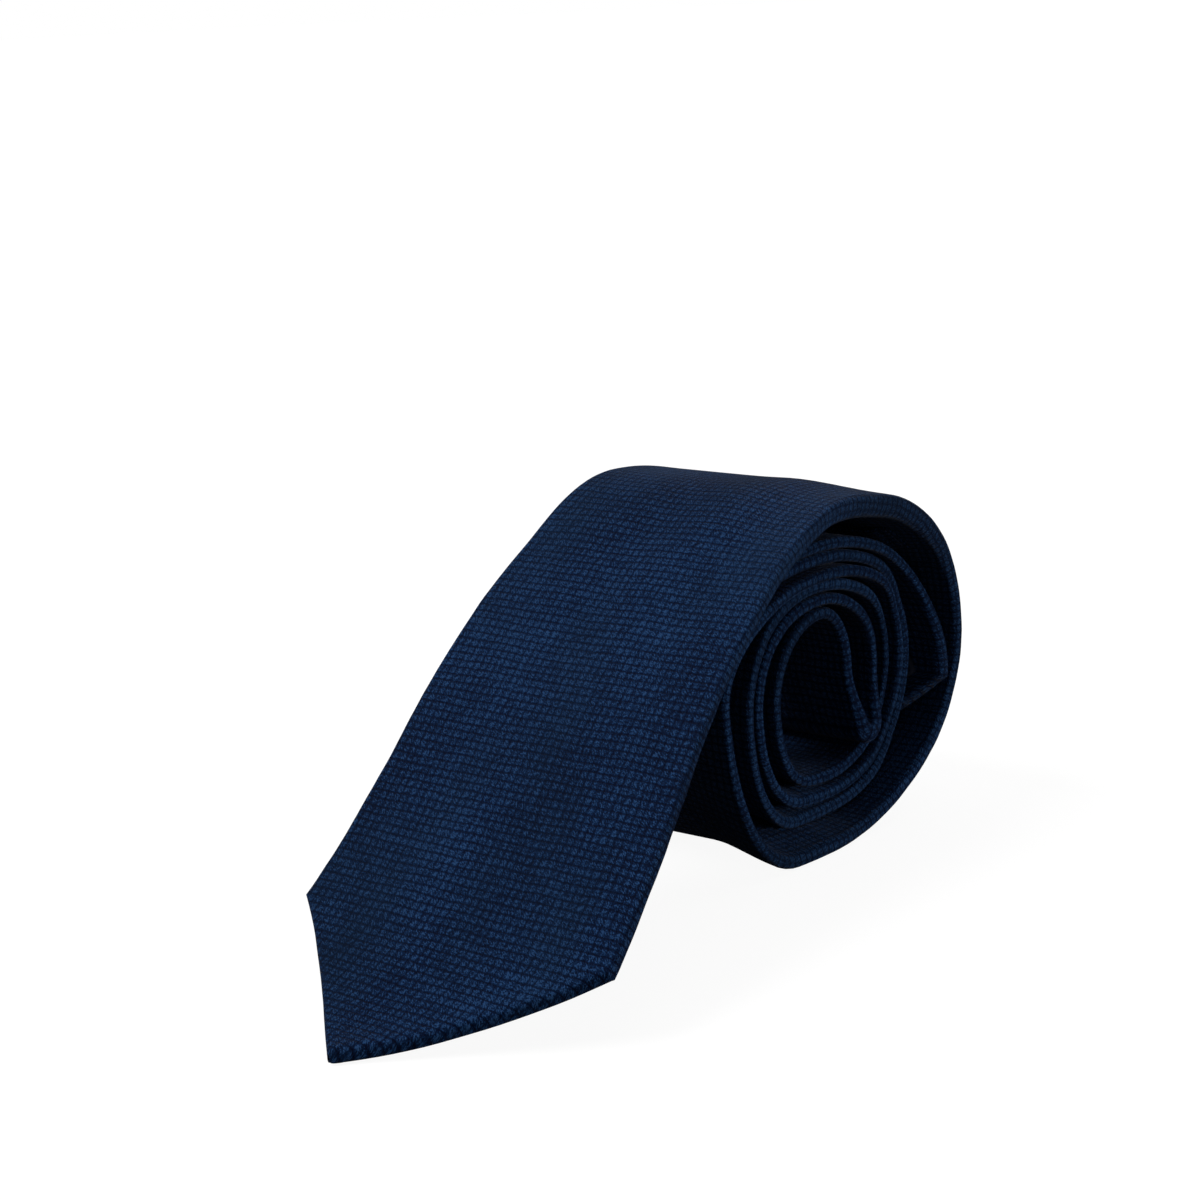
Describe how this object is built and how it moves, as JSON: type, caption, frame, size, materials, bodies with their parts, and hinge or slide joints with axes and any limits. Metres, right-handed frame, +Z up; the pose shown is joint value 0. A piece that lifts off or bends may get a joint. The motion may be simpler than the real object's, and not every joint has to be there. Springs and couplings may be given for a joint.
{
  "type": "necktie",
  "caption": "Navy woven necktie folded in half and rolled on edge from the fold, with its wide front blade draped forward from the coil to the ground; the blade and its tip lift.",
  "frame": {"origin": "middle of the footprint's bounding box on the ground under the coiled tie", "axes": "+X runs across the blade along the coil's axis, +Y from the blade's tip to the back of the coil, +Z up"},
  "size_m": [0.08, 0.2072, 0.0879],
  "materials": {
    "shell_cloth": "navy grenadine-like small square weave with a soft silk sheen",
    "interlining_wool": "undyed brushed wool",
    "tipping_lining": "plain dark navy lining twill",
    "sewing_thread": "navy silk thread",
    "label_satin": "blank black satin ribbon"
  },
  "bodies": {
    "coil": {"front_shell_coil": "shell_cloth", "neck_shell": "shell_cloth", "tail_shell": "shell_cloth", "front_interlining_coil": "interlining_wool", "tail_interlining": "interlining_wool", "tail_tipping": "tipping_lining", "keeper_loop": "shell_cloth", "keeper_stitches": "sewing_thread", "blank_name_label": "label_satin", "name_label_stitches": "sewing_thread", "tail_bar_tack": "sewing_thread", "front_slip_stitch_coil": "sewing_thread", "tail_slip_stitch": "sewing_thread", "front_neck_seam": "sewing_thread", "neck_tail_seam": "sewing_thread"},
    "blade": {"front_shell_drape": "shell_cloth", "front_interlining_drape": "interlining_wool", "front_slip_stitch_drape": "sewing_thread"},
    "blade_tip": {"front_shell_tip": "shell_cloth", "front_interlining_tip": "interlining_wool", "front_tipping": "tipping_lining", "front_bar_tack": "sewing_thread", "care_label_stitches": "sewing_thread"},
    "label_flap": {"care_label": "label_satin"}
  },
  "joints": [
    {"name": "crest_lift", "type": "hinge", "parent": "coil", "child": "blade", "pos_m": [0, 0.03306, 0.08609], "axis": [-1, 0, 0], "range_deg": [0, 60]},
    {"name": "tip_lift", "type": "hinge", "parent": "blade", "child": "blade_tip", "pos_m": [0, -0.03, 0.04491], "axis": [-1, 0, 0], "range_deg": [0, 50]},
    {"name": "care_label_swing", "type": "hinge", "parent": "blade_tip", "child": "label_flap", "pos_m": [0, -0.03992, 0.03318], "axis": [1, 0, 0], "range_deg": [0, 50]}
  ]
}
